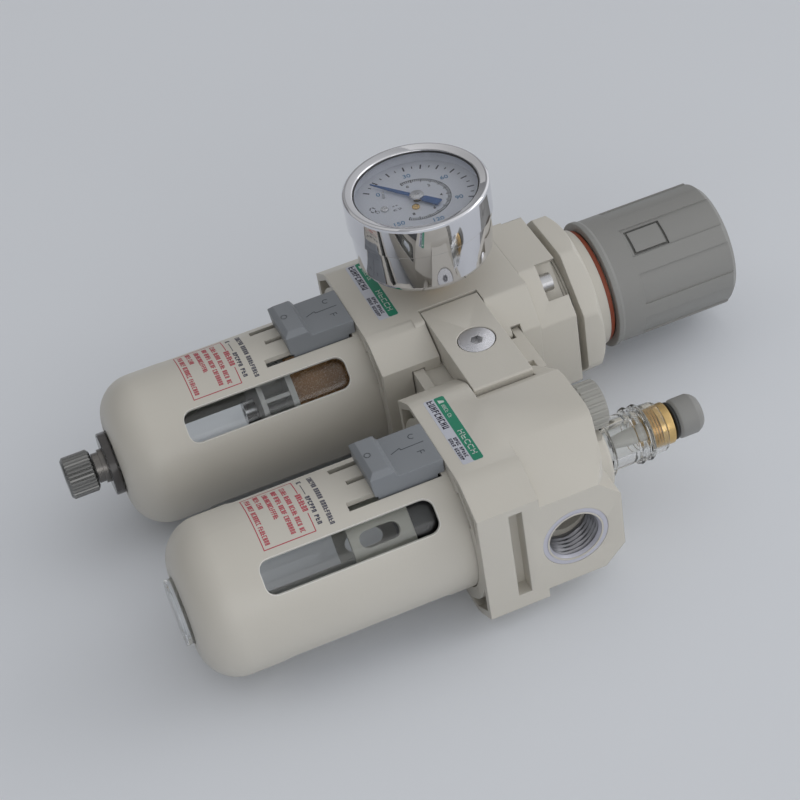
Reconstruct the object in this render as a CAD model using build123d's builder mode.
"""Filter regulator lubricator: two modular units joined by a spacer, lying on their backs.

Millimetres. X runs from the bowls' bottoms to the pressure knob, +Y leaves the inlet port, and
+Z leaves the gauge face. The origin is the centre of the inlet port's mouth.
"""
from build123d import *
from math import cos, radians, sin
import os

os.makedirs("parts", exist_ok=True)

# Driving dimensions
unit_width = 53.0          # one unit, port face to port face
spacer_width = 11.0        # between the two units
body_depth = 48.0          # front face to back face
port_radius = 7.5          # 3/8 taper thread, wall radius of the bore
port_length = 9.5
guard_radius = 21.8        # metal bowl guard, outside
bowl_radius = 18.9         # clear bowl, outside
knob_radius = 18.9
gauge_radius = 20.4
running = 0.05             # radial clearance of a shaft in its bore
gap = 0.3                  # clearance between pieces that move past each other

# Places along Y
regulator_y = -unit_width / 2
spacer_y = -unit_width - spacer_width / 2
lubricator_y = -unit_width * 1.5 - spacer_width
half = unit_width / 2
front = body_depth / 2

# Stations along X
guard_end = -99.7
foot = -26.0               # the bodies' lower face, where the guards go in
socket_top = -16.0
ceiling = -7.0             # roof over the bowl
band_top = -9.0
lubricator_top = 14.5
flange_top = 22.0          # regulator body meets its bonnet
bonnet_top = 33.5
neck_end = 48.6
knob_start = 48.4
knob_end = 87.6
bolt_y, bolt_z = 13.6, 18.6  # bonnet screws, off the regulator's axis


def across(x, y=0.0):
    """Plane that looks along +X: sketch x is +Y and sketch y is +Z."""
    return Plane(origin=(x, y, 0), x_dir=(0, 1, 0), z_dir=(1, 0, 0))


def facing_y(y, x=0.0):
    """Plane that looks along -Y: sketch x is +X and sketch y is +Z."""
    return Plane(origin=(x, y, 0), x_dir=(1, 0, 0), z_dir=(0, -1, 0))


def radial(axis_y, angle):
    """Half plane through a unit's axis: sketch x is +X, sketch y is the radius at that angle."""
    turn = radians(angle)
    return Plane(origin=(0, axis_y, 0), x_dir=(1, 0, 0), z_dir=(0, -sin(turn), cos(turn)))


def turned(axis_y, outline, start=90.0, arc=360.0, mode=Mode.ADD):
    """Revolve an outline of (x, radius) points about a unit's axis."""
    with BuildSketch(radial(axis_y, start)) as profile:
        with BuildLine():
            Polyline(*outline, close=True)
        make_face()
    revolve(profile.sketch, axis=Axis((0, axis_y, 0), (1, 0, 0)), revolution_arc=arc, mode=mode)


def upright(x, y, outline, mode=Mode.ADD):
    """Revolve an outline of (radius, z) points about a line along Z."""
    with BuildSketch(facing_y(y, x)) as profile:
        with BuildLine():
            Polyline(*outline, close=True)
        make_face()
    revolve(profile.sketch, axis=Axis((x, y, 0), (0, 0, 1)), mode=mode)


def rod_x(y, z, radius, x0, x1, mode=Mode.ADD):
    """Round bar or bore along X."""
    with BuildSketch(across(x0, y)) as profile:
        with Locations((0, z)):
            Circle(radius)
    extrude(profile.sketch, amount=x1 - x0, mode=mode)


def rod_y(x, z, radius, y0, y1, mode=Mode.ADD):
    """Round bar or bore along Y, from the larger y to the smaller."""
    with BuildSketch(facing_y(y0, x)) as profile:
        with Locations((0, z)):
            Circle(radius)
    extrude(profile.sketch, amount=y0 - y1, mode=mode)


def rod_z(x, y, radius, z0, z1, mode=Mode.ADD):
    """Round bar or bore along Z."""
    with BuildSketch(Plane.XY.offset(z0)) as profile:
        with Locations((x, y)):
            Circle(radius)
    extrude(profile.sketch, amount=z1 - z0, mode=mode)


def block(x0, x1, y0, y1, z0, z1, mode=Mode.ADD):
    """Rectangular block given by its corners."""
    with Locations(((x0 + x1) / 2, (y0 + y1) / 2, (z0 + z1) / 2)):
        Box(x1 - x0, y1 - y0, z1 - z0, mode=mode)


def prism_x(axis_y, corners, x0, x1, round_off=0.0, top_round=0.0, mode=Mode.ADD):
    """Extrude a symmetric section along X. The corners are those of the +Y, +Z quarter.

    round_off rounds every corner, and top_round only the bends at the front and the back.
    """
    quarter = list(corners)
    upper = quarter + [(-y, z) for y, z in reversed(quarter)]
    outline = upper + [(-y, -z) for y, z in upper]
    with BuildSketch(across(x0, axis_y)) as profile:
        with BuildLine():
            Polyline(*outline, close=True)
        make_face()
        if round_off:
            fillet(profile.vertices(), radius=round_off)
        if top_round:
            highest = max(z for y, z in quarter)
            bends = [v for v in profile.vertices() if abs(abs(v.Y) - highest) < 0.01]
            fillet(bends, radius=top_round)
    extrude(profile.sketch, amount=x1 - x0, mode=mode)


def hex_prism_x(y, across_flats, x0, x1, mode=Mode.ADD):
    """Hexagonal bar or socket along X."""
    with BuildSketch(across(x0, y)) as profile:
        RegularPolygon(across_flats / 2, 6, major_radius=False)
    extrude(profile.sketch, amount=x1 - x0, mode=mode)


def coil_x(axis_y, x0, x1, radius, wire, turns):
    """Compression spring along X between two stations."""
    height = x1 - x0 - 2 * wire
    path = Helix(height / turns, height, radius, center=(x0 + wire, axis_y, 0), direction=(1, 0, 0))
    with BuildSketch(Plane(origin=path @ 0, z_dir=path % 0)) as section:
        Circle(wire)
    sweep(section.sketch, path=path)


def save(part, name):
    """Label a finished piece and write it."""
    part.label = name
    export_step(part, f"parts/{name}.step")


# ---------------------------------------------------------------- bodies
band_section = [(half, 18.0), (17.0, front)]
flange_section = [(24.8, 14.0), (17.5, front)]
crown_section = [(half, 15.0), (9.0, front)]
crown_plan = [(7.6, half), (11.8, 20.0), (14.0, 11.0), (14.5, 6.0)]
socket_radius = guard_radius + 0.35
seal_bore = 18.9
channel_radius = 24.3
channel_arc = 64.0
entry_arc = 24.0
port_chamfer = 6.0
port_top = 13.6
port_half = 15.0


def housing(axis_y):
    """Outside of a die-cast body below its upper section: bowl band, port bosses and grooves."""
    prism_x(axis_y, band_section, foot, band_top, top_round=9.0)
    boss = [
        (foot + 1.0, -port_half), (port_top - port_chamfer, -port_half), (port_top, -9.0),
        (port_top, 9.0), (port_top - port_chamfer, port_half), (foot + 1.0, port_half),
    ]
    with BuildSketch(facing_y(axis_y + half)) as profile:
        with BuildLine():
            Polyline(*boss, close=True)
        make_face()
    extrude(profile.sketch, amount=unit_width)
    for side in (-1, 1):
        face = axis_y + side * half
        inner = face - side * 4.5
        low, high = min(face, inner), max(face, inner)
        block(-17.5, -13.8, low, high, -13.2, 16.0, mode=Mode.SUBTRACT)
        block(port_top, 16.5, low, high, -16.0, 16.0, mode=Mode.SUBTRACT)


def corner_pockets(axis_y):
    """Cored pockets in the corners of the bowl band, open towards the guard."""
    quarter = [(24.4, 16.6), (16.4, 22.4)]
    upper = quarter + [(-y, z) for y, z in reversed(quarter)]
    with BuildSketch(across(foot - 1, axis_y)) as profile:
        with BuildLine():
            Polyline(*upper, *[(-y, -z) for y, z in upper], close=True)
        make_face()
        Circle(25.5, mode=Mode.SUBTRACT)
    extrude(profile.sketch, amount=8.0, mode=Mode.SUBTRACT)


def bowl_socket(axis_y):
    """Bowl socket, seal bore and the two bayonet channels with their entries."""
    turned(axis_y, [(foot - 1, 0), (foot - 1, socket_radius), (socket_top, socket_radius),
                    (socket_top, seal_bore), (ceiling, seal_bore), (ceiling, 0)], mode=Mode.SUBTRACT)
    for start in (-52.0, 128.0):
        turned(axis_y, [(-25.0, 20.0), (-25.0, channel_radius), (-21.5, channel_radius),
                        (-21.5, 20.0)], start=start, arc=channel_arc, mode=Mode.SUBTRACT)
        turned(axis_y, [(foot - 1, 20.0), (foot - 1, channel_radius), (-24.5, channel_radius),
                        (-24.5, 20.0)], start=start, arc=entry_arc, mode=Mode.SUBTRACT)


def port(axis_y, side):
    """Threaded port bore with its machined ring, on one side of a body."""
    face = axis_y + side * half
    inner = face - side * port_length
    rod_y(0, 0, port_radius, max(face, inner), min(face, inner), mode=Mode.SUBTRACT)
    rim = face - side * 0.6
    with BuildSketch(facing_y(max(face, rim))) as ring:
        Circle(9.3)
        Circle(8.0, mode=Mode.SUBTRACT)
    extrude(ring.sketch, amount=0.6, mode=Mode.SUBTRACT)


clamp_half_x = 8.6
clamp_half_y = 18.8
clamp_floor = 15.3

with BuildPart() as regulator_body:
    prism_x(regulator_y, flange_section, band_top - 3.0, flange_top, round_off=1.5)
    housing(regulator_y)
    bowl_socket(regulator_y)
    corner_pockets(regulator_y)
    port(regulator_y, 1)
    port(regulator_y, -1)
    # dirty air chamber, clean bore, seat hole, outlet chamber, stem guide and diaphragm chamber
    turned(regulator_y, [(ceiling - 1, 0), (ceiling - 1, 14.0), (-4.5, 14.0), (-4.5, 6.0), (-4.0, 6.0),
                         (-4.0, 3.6), (-2.4, 3.6), (-2.4, 6.5), (8.0, 6.5), (8.0, 1.28), (17.6, 1.28),
                         (17.6, 17.5), (flange_top + 1, 17.5), (flange_top + 1, 0)],
           mode=Mode.SUBTRACT)
    rod_y(-1.0, 0, 5.0, regulator_y + 17.5, regulator_y + 9.0, mode=Mode.SUBTRACT)
    rod_y(2.6, 0, 4.4, regulator_y - 5.0, regulator_y - 17.5, mode=Mode.SUBTRACT)
    rod_x(regulator_y - 10.0, 0, 0.8, 2.6, 18.0, mode=Mode.SUBTRACT)
    for z0, z1, z2 in ((6.0, 13.0, front + 1), (-6.0, -13.0, -front - 1)):
        rod_z(0, regulator_y, 1.5, min(z0, z1), max(z0, z1), mode=Mode.SUBTRACT)
        rod_z(0, regulator_y, 4.85, min(z1, z2), max(z1, z2), mode=Mode.SUBTRACT)
    for sy in (-1, 1):
        for sz in (-1, 1):
            rod_x(regulator_y + sy * bolt_y, sz * bolt_z, 1.65, 13.0, flange_top + 1, mode=Mode.SUBTRACT)
    for z0 in (clamp_floor, -front - 1):
        block(-8.9, 8.9, regulator_y - half - 1, regulator_y - 12.3, z0, z0 + front + 1 - clamp_floor,
              mode=Mode.SUBTRACT)
save(regulator_body.part, "regulator_body")

plug_z = 16.4              # oil filler plug, in front of the sight dome
with BuildPart() as lubricator_body:
    prism_x(lubricator_y, crown_section, band_top - 3.0, lubricator_top)
    plan = [(x, lubricator_y + y) for x, y in crown_plan]
    plan += [(x, lubricator_y - y) for x, y in reversed(crown_plan)]
    plan += [(foot, lubricator_y - half), (foot, lubricator_y + half)]
    with BuildSketch(Plane.XY.offset(-front - 1)) as crown_outline:
        with BuildLine():
            Polyline(*plan, close=True)
        make_face()
    extrude(crown_outline.sketch, amount=2 * front + 2, mode=Mode.INTERSECT)
    housing(lubricator_y)
    turned(lubricator_y, [(12.0, 0), (12.0, 11.6), (18.2, 11.6), (19.0, 10.8), (19.0, 0)])
    block(lubricator_top, 20.0, lubricator_y - 13, lubricator_y + 13, 9.5, 13.0, mode=Mode.SUBTRACT)
    bowl_socket(lubricator_y)
    corner_pockets(lubricator_y)
    port(lubricator_y, 1)
    port(lubricator_y, -1)
    rod_y(1.0, 0, 6.0, lubricator_y + 17.5, lubricator_y - 17.5, mode=Mode.SUBTRACT)
    turned(lubricator_y, [(6.0, 0), (6.0, 1.2), (14.0, 1.2), (14.0, 8.9), (20.0, 8.9), (20.0, 0)],
           mode=Mode.SUBTRACT)
    rod_x(lubricator_y, -8.0, 1.2, ceiling - 1, 14.5, mode=Mode.SUBTRACT)
    rod_x(lubricator_y, 13.5, 2.0, ceiling - 1, 4.5, mode=Mode.SUBTRACT)
    rod_x(lubricator_y, plug_z, 4.5, 4.0, lubricator_top + 1, mode=Mode.SUBTRACT)
    rod_z(5.4, lubricator_y + 4.0, 0.6, -5.5, 5.5, mode=Mode.SUBTRACT)
    for z0 in (clamp_floor, -front - 1):
        block(-8.9, 8.9, lubricator_y + 12.3, lubricator_y + half + 1, z0, z0 + front + 1 - clamp_floor,
              mode=Mode.SUBTRACT)
save(lubricator_body.part, "lubricator_body")

# ---------------------------------------------------------------- spacer between the units
with BuildPart() as spacer_frame:
    block(-13.5, 13.5, spacer_y - 5.5, spacer_y + 5.5, -14.0, 14.5)
    block(-17.2, -14.1, spacer_y - 9.6, spacer_y + 9.6, -12.9, 15.7)
    block(-14.6, -13.0, spacer_y - 5.5, spacer_y + 5.5, -12.9, 14.5)
    block(13.9, 16.2, spacer_y - 9.6, spacer_y + 9.6, -14.0, 14.5)
    block(13.0, 14.6, spacer_y - 5.5, spacer_y + 5.5, -12.9, 14.5)
    rod_y(0, 0, 6.5, spacer_y + 6, spacer_y - 6, mode=Mode.SUBTRACT)
    for start, end in ((spacer_y + 5.5, spacer_y + 4.2), (spacer_y - 4.2, spacer_y - 5.5)):
        with BuildSketch(facing_y(start)) as seal_groove:
            Circle(10.2)
            Circle(8.2, mode=Mode.SUBTRACT)
        extrude(seal_groove.sketch, amount=start - end, mode=Mode.SUBTRACT)
    rod_z(0.4, spacer_y, 2.1, 8.5, 15.0, mode=Mode.SUBTRACT)
    rod_z(0.4, spacer_y, 2.1, -15.0, -8.5, mode=Mode.SUBTRACT)
save(spacer_frame.part, "spacer_frame")


def clamp_plate(name, side, head_depth, head_radius):
    """Plate that lies over both port bosses, on the front (side 1) or the back (side -1)."""
    inner, outer = side * (clamp_floor + 0.1), side * front
    block(-clamp_half_x, clamp_half_x, spacer_y - clamp_half_y, spacer_y + clamp_half_y,
          min(inner, outer), max(inner, outer))
    lips = name.edges().filter_by(Axis.X).group_by(Axis.Z)[0 if side < 0 else -1]
    chamfer(lips, length=0.4)
    relief = side * (clamp_floor + 3.2)
    block(-5.6, 5.6, spacer_y + 7.0, spacer_y + clamp_half_y - 2.6, min(inner, relief) - 0.1,
          max(inner, relief), mode=Mode.SUBTRACT)
    block(-5.6, 5.6, spacer_y - clamp_half_y + 2.6, spacer_y - 7.0, min(inner, relief) - 0.1,
          max(inner, relief), mode=Mode.SUBTRACT)
    rod_z(0.4, spacer_y, 2.6, -front - 1 if side < 0 else 14.0, -14.0 if side < 0 else front + 1,
          mode=Mode.SUBTRACT)
    seat = side * (front - head_depth)
    rod_z(0.4, spacer_y, head_radius, min(seat, side * (front + 1)), max(seat, side * (front + 1)),
          mode=Mode.SUBTRACT)


with BuildPart() as spacer_clamp:
    clamp_plate(spacer_clamp, 1, 3.6, 5.35)
save(spacer_clamp.part, "spacer_clamp")

with BuildPart() as spacer_back_plate:
    clamp_plate(spacer_back_plate, -1, 3.6, 5.35)
save(spacer_back_plate.part, "spacer_back_plate")

with BuildPart() as spacer_screws:
    for side in (-1, 1):
        ends = sorted((side * 20.5, side * 23.8))
        rod_z(0.4, spacer_y, 5.1, ends[0], ends[1])
        ends = sorted((side * 9.0, side * 20.5))
        rod_z(0.4, spacer_y, 2.05, ends[0], ends[1])
        with BuildSketch(Plane.XY.offset(min(side * 21.8, side * 24.5))) as socket:
            with Locations((0.4, spacer_y)):
                RegularPolygon(1.6, 6, major_radius=False)
        extrude(socket.sketch, amount=2.7, mode=Mode.SUBTRACT)
save(spacer_screws.part, "spacer_screws")

with BuildPart() as spacer_seals:
    for y in (spacer_y + 5.45, spacer_y - 4.25):
        with BuildSketch(facing_y(y)) as seal:
            Circle(10.1)
            Circle(8.3, mode=Mode.SUBTRACT)
        extrude(seal.sketch, amount=1.2)
save(spacer_seals.part, "spacer_seals")

# ---------------------------------------------------------------- bowls, guards and locks
guard_top = -18.3
guard_wall = 1.6
dome_round = 11.0
window_start, window_end = -80.0, -32.5
window_angle, window_half_angle = 45.3, 12.8
boss_radius = 9.0


with BuildPart() as window_cutter:
    turned(0, [(window_start, 15), (window_start, 26), (window_end, 26), (window_end, 15)],
           start=90 - window_half_angle, arc=2 * window_half_angle)
    radial_edges = window_cutter.edges().filter_by(lambda e: abs(e.length - 11.0) < 0.01)
    fillet(radial_edges, radius=3.0)


def rounded_cup(axis_y, top, end, radius, wall, corner):
    """Thin cup with a rounded bottom corner, open at the top."""
    for r, stop, rounding, mode in ((radius, end, corner, Mode.ADD),
                                    (radius - wall, end + wall, corner - wall, Mode.SUBTRACT)):
        with BuildSketch(radial(axis_y, 90)) as profile:
            with BuildLine():
                Line((top, 0), (top, r))
                Line((top, r), (stop + rounding, r))
                RadiusArc((stop + rounding, r), (stop, r - rounding), -rounding)
                Line((stop, r - rounding), (stop, 0))
                Line((stop, 0), (top, 0))
            make_face()
        revolve(profile.sketch, axis=Axis((0, axis_y, 0), (1, 0, 0)), mode=mode)


def guard(axis_y):
    """Bowl guard with four viewing windows, lock button slots and two bayonet lugs."""
    rounded_cup(axis_y, guard_top, guard_end, guard_radius, guard_wall, dome_round)
    rod_x(axis_y, 0, boss_radius + gap, guard_end - 1, guard_end + 4, mode=Mode.SUBTRACT)
    for angle in (-window_angle, window_angle, 180 - window_angle, 180 + window_angle):
        add(Pos(0, axis_y, 0) * Rot(angle, 0, 0) * window_cutter.part, mode=Mode.SUBTRACT)
    for y0, y1, x0 in ((-8.4, -5.9, -53.0), (5.9, 8.4, -53.0), (-0.8, 0.8, -50.5)):
        block(x0, -27.5, axis_y + y0, axis_y + y1, 15.0, 24.0, mode=Mode.SUBTRACT)
    for start in (-10.0, 170.0):
        turned(axis_y, [(-24.7, 20.6), (-24.7, 24.0), (-21.8, 24.0), (-21.8, 20.6)],
               start=start, arc=20.0)


def bowl(axis_y, boss_end, bore):
    """Clear bowl: neck with a seal groove, flange that rests on the guard, and bottom boss."""
    rounded_cup(axis_y, -16.5, -96.5, bowl_radius, 1.8, 9.5)
    turned(axis_y, [(-7.4, 16.0), (-7.4, 18.6), (-9.6, 18.6), (-9.6, 17.5), (-11.8, 17.5), (-11.8, 18.6),
                    (-16.3, 18.6), (-16.3, 21.5), (-18.0, 21.5), (-18.0, 18.0), (-19.0, 17.1),
                    (-19.0, 16.9), (-16.0, 16.0)])
    turned(axis_y, [(-95.0, 0), (-95.0, boss_radius), (boss_end, boss_radius), (boss_end, 0)])
    if bore:
        turned(axis_y, [(-90.0, 0), (-90.0, 5.0), (-95.5, 5.0), (-95.5, 0)])
        rod_x(axis_y, 0, bore, boss_end - 1, -88.0, mode=Mode.SUBTRACT)


def bowl_seal(axis_y):
    """Seal ring in the bowl's groove."""
    turned(axis_y, [(-9.75, 17.55), (-9.75, seal_bore - running), (-11.65, seal_bore - running),
                    (-11.65, 17.55)])


pad_top = 25.0
hump_top = 28.0
button_half = 7.8


def lock_button(name, axis_y):
    """Bowl lock button: flat pad with a thumb hump, and two legs that slide in the guard's slots."""
    outline = [
        (-26.3, 18.9), (-26.3, pad_top), (-38.6, pad_top), (-40.2, hump_top), (-44.8, hump_top),
        (-46.2, 26.6), (-45.4, 18.9),
    ]
    with BuildSketch(facing_y(axis_y + button_half)) as profile:
        with BuildLine():
            Polyline(*outline, close=True)
        make_face()
    extrude(profile.sketch, amount=2 * button_half)
    tops = name.edges().filter_by(Axis.X).group_by(Axis.Z)
    chamfer(tops[-1], length=1.4)
    turned(axis_y, [(-60, 0), (-60, guard_radius + gap), (-20, guard_radius + gap), (-20, 0)],
           mode=Mode.SUBTRACT)
    for y0, y1 in ((-button_half, -6.3), (6.3, button_half)):
        block(-44.8, -28.3, axis_y + y0, axis_y + y1, 19.3, 22.5)


with BuildPart() as filter_bowl_guard:
    guard(regulator_y)
save(filter_bowl_guard.part, "filter_bowl_guard")

with BuildPart() as lubricator_bowl_guard:
    guard(lubricator_y)
save(lubricator_bowl_guard.part, "lubricator_bowl_guard")

with BuildPart() as filter_bowl:
    bowl(regulator_y, -102.6, 3.6)
save(filter_bowl.part, "filter_bowl")

with BuildPart() as lubricator_bowl:
    bowl(lubricator_y, -101.8, 0)
    turned(lubricator_y, [(-103, 5.4), (-103, 6.4), (-101.2, 6.4), (-101.2, 5.4)], mode=Mode.SUBTRACT)
save(lubricator_bowl.part, "lubricator_bowl")

with BuildPart() as filter_bowl_seal:
    bowl_seal(regulator_y)
save(filter_bowl_seal.part, "filter_bowl_seal")

with BuildPart() as lubricator_bowl_seal:
    bowl_seal(lubricator_y)
save(lubricator_bowl_seal.part, "lubricator_bowl_seal")

with BuildPart() as filter_lock_button:
    lock_button(filter_lock_button, regulator_y)
save(filter_lock_button.part, "filter_lock_button")

with BuildPart() as lubricator_lock_button:
    lock_button(lubricator_lock_button, lubricator_y)
save(lubricator_lock_button.part, "lubricator_lock_button")

# ---------------------------------------------------------------- drain
drain_stem = 2.0
with BuildPart() as drain_guide:
    turned(regulator_y, [(-88.5, 2.05), (-88.5, 4.6), (-89.95, 4.6), (-89.95, 3.55), (-102.65, 3.55),
                         (-102.65, 4.9), (-103.9, 4.9), (-103.9, 4.3), (-105.8, 4.3), (-105.8, 2.05)])
save(drain_guide.part, "drain_guide")

drain_radius = 6.1
knurls = 30
with BuildPart() as drain_cock:
    turned(regulator_y, [(-85.0, 0), (-85.0, drain_stem), (-106.1, drain_stem), (-106.1, 5.3),
                         (-106.8, drain_radius), (-113.8, drain_radius), (-114.5, 5.3), (-114.5, 0)])
    with BuildSketch(across(-115.0, regulator_y)) as teeth:
        with PolarLocations(drain_radius + 0.12, knurls):
            RegularPolygon(0.5, 4)
    extrude(teeth.sketch, amount=9.5, mode=Mode.SUBTRACT)
    turned(regulator_y, [(-115, 0), (-115, 1.6), (-112.5, 1.6), (-112.0, 0)], mode=Mode.SUBTRACT)
save(drain_cock.part, "drain_cock")

# ---------------------------------------------------------------- filter set
with BuildPart() as swirl_deflector:
    turned(regulator_y, [(-15.2, 6.25), (-15.2, 15.5), (-13.7, 15.5), (-13.7, 6.25)])
    turned(regulator_y, [(-13.8, 10.4), (-13.8, 11.6), (ceiling, 11.6), (ceiling, 10.4)])
    louvre = Rot(0, 0, 0) * Box(6.4, 3.9, 0.9, mode=Mode.PRIVATE)
    for step in range(12):
        swing = Pos(-10.2, regulator_y, 0) * Rot(step * 30, 0, 0) * Pos(0, 13.2, 0) * Rot(0, 28, 0)
        add(swing * louvre)
    turned(regulator_y, [(-20, 0), (-20, 30), (-15.2, 30), (-15.2, 0)], mode=Mode.SUBTRACT)
    turned(regulator_y, [(ceiling, 0), (ceiling, 30), (-2, 30), (-2, 0)], mode=Mode.SUBTRACT)
save(swirl_deflector.part, "swirl_deflector")

with BuildPart() as filter_element:
    turned(regulator_y, [(-47.0, 7.2), (-47.0, 10.6), (-15.3, 10.6), (-15.3, 7.2)])
save(filter_element.part, "filter_element")

with BuildPart() as element_baffle:
    turned(regulator_y, [(-48.8, 2.0), (-48.8, 14.5), (-47.1, 14.5), (-47.1, 2.0)])
    turned(regulator_y, [(-57.5, 2.0), (-57.5, 14.5), (-56.0, 14.5), (-56.0, 2.0)])
    turned(regulator_y, [(-57.0, 2.0), (-57.0, 3.6), (-48.0, 3.6), (-48.0, 2.0)])
    for angle in range(0, 180, 45):
        with BuildSketch(across(-56.5, regulator_y)) as vane:
            Rectangle(27.0, 1.2, rotation=angle)
            Circle(2.6, mode=Mode.SUBTRACT)
        extrude(vane.sketch, amount=8.0)
save(element_baffle.part, "element_baffle")

with BuildPart() as element_bolt:
    turned(regulator_y, [(-61.0, 0), (-61.0, 3.4), (-57.6, 3.4), (-57.6, 1.9), (-14.2, 1.9), (-14.2, 0)])
    hex_prism_x(regulator_y, 3.0, -62.0, -59.0, mode=Mode.SUBTRACT)
save(element_bolt.part, "element_bolt")

with BuildPart() as valve_guide:
    turned(regulator_y, [(-18.0, 1.95), (-18.0, 5.95), (-4.6, 5.95), (-4.6, 5.0), (-13.8, 5.0),
                         (-13.8, 1.95)])
    for angle in (0, 90):
        with BuildSketch(across(-17.0, regulator_y)) as slot:
            Rectangle(13.0, 1.6, rotation=angle + 45)
            Circle(4.9, mode=Mode.SUBTRACT)
        extrude(slot.sketch, amount=1.4, mode=Mode.SUBTRACT)
save(valve_guide.part, "valve_guide")

# ---------------------------------------------------------------- regulator
with BuildPart() as valve_poppet:
    turned(regulator_y, [(-6.6, 0), (-6.6, 2.6), (-5.9, 2.6), (-5.9, 4.6), (-4.3, 4.6), (-4.3, 1.2),
                         (18.9, 1.2), (18.9, 0)])
save(valve_poppet.part, "valve_poppet")

with BuildPart() as valve_spring:
    coil_x(regulator_y, -13.7, -6.0, 3.6, 0.4, 5)
save(valve_spring.part, "valve_spring")

bonnet_section = [(23.8, 12.0), (12.0, front)]
with BuildPart() as regulator_bonnet:
    prism_x(regulator_y, bonnet_section, flange_top, bonnet_top, round_off=1.5)
    turned(regulator_y, [(bonnet_top - 1, 0), (bonnet_top - 1, 18.7), (42.6, 18.7), (42.6, 17.7),
                         (46.5, 17.7), (46.5, 16.0), (neck_end, 16.0), (neck_end, 0)])
    turned(regulator_y, [(flange_top - 1, 0), (flange_top - 1, 20.0), (23.0, 20.0), (23.0, 15.0),
                         (25.0, 13.4), (45.0, 13.4), (45.0, 4.05), (neck_end + 1, 4.05),
                         (neck_end + 1, 0)], mode=Mode.SUBTRACT)
    for turn, shift in ((45, 3.54), (135, -3.54), (225, 3.54), (315, -3.54)):
        notch = Pos(30.6, regulator_y, 0) * Rot(turn, 0, 0) * Pos(0, shift, 23.3)
        add(notch * Box(6.4, 11.0, 6.4, mode=Mode.PRIVATE), mode=Mode.SUBTRACT)
    for sy in (-1, 1):
        for sz in (-1, 1):
            rod_x(regulator_y + sy * bolt_y, sz * bolt_z, 1.8, flange_top - 1, 28.0, mode=Mode.SUBTRACT)
    rod_z(29.0, regulator_y, 0.8, -front - 1, -12.0, mode=Mode.SUBTRACT)
save(regulator_bonnet.part, "regulator_bonnet")

with BuildPart() as bonnet_screws:
    for sy in (-1, 1):
        for sz in (-1, 1):
            rod_x(regulator_y + sy * bolt_y, sz * bolt_z, 1.6, 14.0, 27.5)
            rod_x(regulator_y + sy * bolt_y, sz * bolt_z, 2.6, 27.4, 30.8)
            with BuildSketch(across(31.0, regulator_y + sy * bolt_y)) as socket:
                with Locations((0, sz * bolt_z)):
                    RegularPolygon(1.5, 6, major_radius=False)
            extrude(socket.sketch, amount=-2.0, mode=Mode.SUBTRACT)
save(bonnet_screws.part, "bonnet_screws")

with BuildPart() as panel_nut:
    with BuildSketch(across(36.0, regulator_y)) as nut_face:
        RegularPolygon(24.9, 8, rotation=22.5)
        fillet(nut_face.vertices(), radius=3.0)
        Circle(18.75, mode=Mode.SUBTRACT)
    extrude(amount=6.1)
    turned(regulator_y, [(36.0, 0), (36.0, 25.0), (40.2, 25.0), (42.1, 22.8), (42.1, 0)],
           mode=Mode.INTERSECT)
save(panel_nut.part, "panel_nut")

with BuildPart() as unlock_ring:
    turned(regulator_y, [(46.6, 16.05), (46.6, 16.9), (46.8, 17.1), (47.9, 17.1), (48.1, 16.9),
                         (48.1, 16.05)])
save(unlock_ring.part, "unlock_ring")

with BuildPart() as diaphragm:
    turned(regulator_y, [(22.05, 3.0), (22.05, 19.9), (22.95, 19.9), (22.95, 3.0)])
save(diaphragm.part, "diaphragm")

with BuildPart() as diaphragm_plate:
    turned(regulator_y, [(19.2, 0), (19.2, 8.5), (22.0, 8.5), (22.0, 2.9), (23.0, 2.9), (23.0, 11.5),
                         (24.6, 11.5), (24.6, 7.4), (27.0, 7.4), (27.0, 0)])
    rod_x(regulator_y, 0, 0.9, 20.5, 28.0, mode=Mode.SUBTRACT)
save(diaphragm_plate.part, "diaphragm_plate")

with BuildPart() as regulating_spring:
    coil_x(regulator_y, 24.7, 38.4, 9.9, 1.3, 3.5)
save(regulating_spring.part, "regulating_spring")

screw_radius = 4.0
with BuildPart() as spring_seat:
    turned(regulator_y, [(38.5, screw_radius + running), (38.5, 12.9), (40.6, 12.9), (40.6, 7.0),
                         (41.1, 6.4), (41.1, screw_radius + running)])
    turned(regulator_y, [(35.0, screw_radius + running), (35.0, 7.0), (38.6, 7.0),
                         (38.6, screw_radius + running)])
save(spring_seat.part, "spring_seat")

hex_flats = 11.0
with BuildPart() as adjusting_screw:
    turned(regulator_y, [(31.4, 0), (31.4, 3.3), (32.1, screw_radius), (48.9, screw_radius), (48.9, 8.0),
                         (50.6, 8.0), (50.6, 0)])
    hex_prism_x(regulator_y, hex_flats, 50.5, 60.5)
save(adjusting_screw.part, "adjusting_screw")

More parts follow.
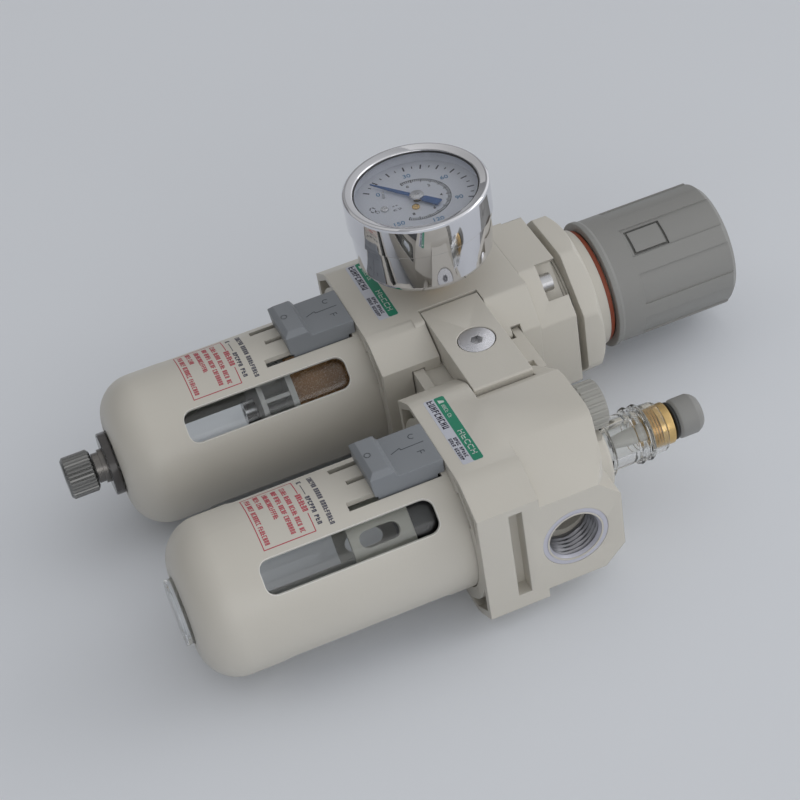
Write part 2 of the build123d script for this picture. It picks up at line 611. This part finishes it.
panel_count = 8
panel_arc = 29.0
panel_start = 57.4
with BuildPart() as pressure_knob:
    turned(regulator_y, [(knob_start, 16.8), (knob_start, 19.1), (knob_start + 0.2, 19.3),
                         (knob_start + 1.4, 19.3), (knob_start + 2.2, knob_radius),
                         (knob_end - 1.8, knob_radius), (knob_end, knob_radius - 1.8), (knob_end, 0),
                         (52.2, 0), (52.2, 8.6), (85.0, 8.6), (85.0, 16.8)])
    hex_prism_x(regulator_y, hex_flats + 2 * gap, 51.0, 64.0, mode=Mode.SUBTRACT)
    for index in range(panel_count):
        start = 90 + 10.0 + index * 360 / panel_count
        turned(regulator_y, [(panel_start, knob_radius - 0.5), (panel_start, 22), (knob_end + 1, 22),
                             (knob_end + 1, knob_radius - 0.5)],
               start=start, arc=panel_arc, mode=Mode.SUBTRACT)
    # outline of the lock window in one panel
    for x0, x1, a0, a1 in ((58.4, 59.2, 102.4, 127.8), (68.8, 69.6, 102.4, 127.8),
                           (58.4, 69.6, 102.4, 104.6), (58.4, 69.6, 125.6, 127.8)):
        turned(regulator_y, [(x0, 17.3), (x0, 20), (x1, 20), (x1, 17.3)], start=a0, arc=a1 - a0,
               mode=Mode.SUBTRACT)
save(pressure_knob.part, "pressure_knob")

# ---------------------------------------------------------------- gauge
case_radius = 19.8
case_floor = 33.5
gauge_top = 56.0
with BuildPart() as gauge_stem:
    rod_z(0, regulator_y, 4.8, 14.5, 25.0)
    rod_z(0, regulator_y, 4.4, 24.5, 34.6)
    with BuildSketch(Plane.XY.offset(25.0)) as stem_hex:
        with Locations((0, regulator_y)):
            RegularPolygon(5.5, 6, major_radius=False)
    extrude(stem_hex.sketch, amount=6.5)
    block(-3.0, 3.0, regulator_y - 4.0, regulator_y + 4.0, 34.6, 38.0)
    block(2.5, 15.0, regulator_y - 3.5, regulator_y - 0.1, 35.0, 38.0)
    rod_z(0, regulator_y, 1.0, 14.0, 36.5, mode=Mode.SUBTRACT)
save(gauge_stem.part, "gauge_stem")

with BuildPart() as gauge_case:
    upright(0, regulator_y, [(4.5, case_floor), (18.6, case_floor), (19.3, case_floor + 0.7),
                             (case_radius, 46.0), (case_radius, 53.0), (19.0, 53.0), (19.0, 46.0),
                             (18.5, case_floor + 1.0), (4.5, case_floor + 1.0)])
save(gauge_case.part, "gauge_case")

with BuildPart() as gauge_bezel:
    upright(0, regulator_y, [(case_radius + 0.05, 46.3), (gauge_radius, 46.3), (gauge_radius, 55.2),
                             (19.7, gauge_top), (18.0, gauge_top), (17.3, 55.3), (17.3, 54.6),
                             (case_radius + 0.05, 54.6)])
save(gauge_bezel.part, "gauge_bezel")

with BuildPart() as gauge_lens:
    upright(0, regulator_y, [(0, 53.1), (19.6, 53.1), (19.6, 54.5), (0, 54.5)])
save(gauge_lens.part, "gauge_lens")

with BuildPart() as gauge_dial:
    upright(0, regulator_y, [(1.2, 49.7), (18.9, 49.7), (18.9, 50.4), (1.2, 50.4)])
save(gauge_dial.part, "gauge_dial")

with BuildPart() as gauge_movement:
    for z0, z1 in ((40.5, 41.5), (46.0, 47.0)):
        block(-4.0, 4.0, regulator_y - 7.0, regulator_y + 7.0, z0, z1)
    for y in (-5.8, 5.8):
        rod_z(0, regulator_y + y, 1.0, 38.1, 49.6)
    rod_z(0, regulator_y, 0.7, 40.0, 48.0, mode=Mode.SUBTRACT)
    block(-3.0, 3.0, regulator_y + 4.6, regulator_y + 7.0, 38.1, 41.0)
    block(-3.0, 3.0, regulator_y - 7.0, regulator_y - 4.6, 38.1, 41.0)
    block(-0.8, 0.8, regulator_y - 14.4, regulator_y - 6.5, 40.0, 40.8)
save(gauge_movement.part, "gauge_movement")

with BuildPart() as bourdon_tube:
    with BuildSketch(Plane(origin=(13.5, regulator_y, 37.5), x_dir=(1, 0, 0), z_dir=(0, 1, 0))) as tube:
        Ellipse(0.9, 2.4)
        Ellipse(0.6, 2.1, mode=Mode.SUBTRACT)
    revolve(tube.sketch, axis=Axis((0, regulator_y, 0), (0, 0, 1)), revolution_arc=270)
save(bourdon_tube.part, "bourdon_tube")

pointer_angle = 126.8
with BuildPart() as gauge_pointer:
    rod_z(0, regulator_y, 0.65, 39.6, 51.5)
    rod_z(0, regulator_y, 2.1, 51.1, 52.7)
    with BuildSketch(Plane(origin=(0, regulator_y, 51.1), x_dir=(cos(radians(pointer_angle)),
                                                              sin(radians(pointer_angle)), 0),
                           z_dir=(0, 0, 1))) as needle:
        with BuildLine():
            Polyline((-7.4, -1.3), (-7.4, 1.3), (-1.5, 0.9), (1.5, 0.9), (15.4, 0.15), (15.4, -0.15),
                     (1.5, -0.9), (-1.5, -0.9), close=True)
        make_face()
    extrude(needle.sketch, amount=0.5)
save(gauge_pointer.part, "gauge_pointer")

with BuildPart() as gauge_port_plug:
    rod_z(0, regulator_y, 4.75, -23.7, -16.0)
    with BuildSketch(Plane.XY.offset(-24.0)) as plug_socket:
        with Locations((0, regulator_y)):
            RegularPolygon(2.5, 6, major_radius=False)
    extrude(plug_socket.sketch, amount=4.0, mode=Mode.SUBTRACT)
save(gauge_port_plug.part, "gauge_port_plug")

# ---------------------------------------------------------------- lubricator
with BuildPart() as sight_dome:
    turned(lubricator_y, [(14.6, 4.6), (14.6, 8.7), (20.6, 8.7), (21.6, 7.2), (37.0, 7.2), (37.9, 6.3),
                          (37.9, 5.7), (32.9, 5.7), (32.9, 4.6)])
    for index in range(4):
        lug = Pos(30.6, lubricator_y, 0) * Rot(45 + index * 90, 0, 0) * Pos(0, 7.4, 0)
        add(lug * Box(4.0, 2.4, 3.6, mode=Mode.PRIVATE))
    turned(lubricator_y, [(10, 0), (10, 4.6), (32.9, 4.6), (32.9, 5.7), (40, 5.7), (40, 0)],
           mode=Mode.SUBTRACT)
save(sight_dome.part, "sight_dome")

with BuildPart() as dome_seal:
    turned(lubricator_y, [(14.05, 5.2), (14.05, 8.5), (14.55, 8.5), (14.55, 5.2)])
save(dome_seal.part, "dome_seal")

with BuildPart() as needle_insert:
    turned(lubricator_y, [(33.0, 1.05), (33.0, 5.65), (38.0, 5.65), (38.0, 5.9), (40.2, 5.9), (40.2, 1.05)])
save(needle_insert.part, "needle_insert")

with BuildPart() as needle_valve:
    turned(lubricator_y, [(23.0, 0), (26.0, 1.0), (40.6, 1.0), (40.6, 0)])
save(needle_valve.part, "needle_valve")

with BuildPart() as adjusting_cap:
    turned(lubricator_y, [(40.6, 0), (40.6, 3.4), (41.9, 3.4), (41.9, 5.0), (42.5, 5.6), (47.6, 5.6),
                          (49.5, 4.0), (49.5, 0)])
save(adjusting_cap.part, "adjusting_cap")

with BuildPart() as cap_seal:
    turned(lubricator_y, [(40.6, 3.45), (40.6, 4.9), (40.9, 5.3), (41.5, 5.3), (41.8, 4.9), (41.8, 3.45)])
save(cap_seal.part, "cap_seal")

plug_ribs = 18
with BuildPart() as oil_plug:
    rod_x(lubricator_y, plug_z, 4.45, 6.0, 15.2)
    rod_x(lubricator_y, plug_z, 6.2, 15.0, 21.0)
    with BuildSketch(across(15.4, lubricator_y)) as ribs:
        with Locations((0, plug_z)):
            with PolarLocations(6.25, plug_ribs):
                Circle(0.45)
    extrude(ribs.sketch, amount=5.2)
    with BuildSketch(across(22.0, lubricator_y)) as plug_slot:
        with Locations((0, plug_z)):
            RegularPolygon(2.5, 6, major_radius=False)
    extrude(plug_slot.sketch, amount=-3.5, mode=Mode.SUBTRACT)
save(oil_plug.part, "oil_plug")

with BuildPart() as oil_plug_seal:
    with BuildSketch(across(14.6, lubricator_y)) as washer:
        with Locations((0, plug_z)):
            Circle(6.0)
            Circle(4.6, mode=Mode.SUBTRACT)
    extrude(washer.sketch, amount=0.35)
save(oil_plug_seal.part, "oil_plug_seal")

siphon_z = -8.0
with BuildPart() as siphon_tube:
    rod_x(lubricator_y, siphon_z, 2.0, -91.0, ceiling)
    rod_x(lubricator_y, siphon_z, 1.2, -92.0, ceiling + 1, mode=Mode.SUBTRACT)
save(siphon_tube.part, "siphon_tube")

with BuildPart() as oil_strainer:
    rod_x(lubricator_y, siphon_z, 3.6, -93.5, -85.0)
    rod_x(lubricator_y, siphon_z, 2.05, -91.5, -84.0, mode=Mode.SUBTRACT)
save(oil_strainer.part, "oil_strainer")

with BuildPart() as baffle_holder:
    turned(lubricator_y, [(-38.0, 12.9), (-38.0, 14.5), (ceiling, 14.5), (ceiling, 12.9)])
save(baffle_holder.part, "baffle_holder")

with BuildPart() as oil_baffle:
    turned(lubricator_y, [(-55.0, 12.9), (-55.0, 14.2), (-38.05, 14.2), (-38.05, 12.9)])
    for angle in (45, 135, 225, 315):
        turn = radians(angle)
        slot_plane = Plane(origin=(-47.0, lubricator_y, 0), x_dir=(1, 0, 0),
                           z_dir=(0, cos(turn), sin(turn)))
        with BuildSketch(slot_plane) as oval:
            SlotOverall(11.0, 4.4)
        extrude(oval.sketch, amount=20.0, mode=Mode.SUBTRACT)
save(oil_baffle.part, "oil_baffle")

damper_y = lubricator_y + 4.0
pivot_x = 5.4
with BuildPart() as damper_pin:
    rod_z(pivot_x, damper_y, 0.55, -5.2, 5.2)
save(damper_pin.part, "damper_pin")

with BuildPart() as flow_damper:
    with BuildSketch(facing_y(damper_y + 0.4, pivot_x)) as flap:
        with Locations((-5.2, 0)):
            Circle(5.0)
        with Locations((-0.6, 0)):
            Rectangle(1.8, 3.0)
    extrude(flap.sketch, amount=0.8)
    rod_z(pivot_x, damper_y, 1.0, -1.8, 1.8)
    rod_z(pivot_x, damper_y, 0.6, -6.0, 6.0, mode=Mode.SUBTRACT)
save(flow_damper.part, "flow_damper")
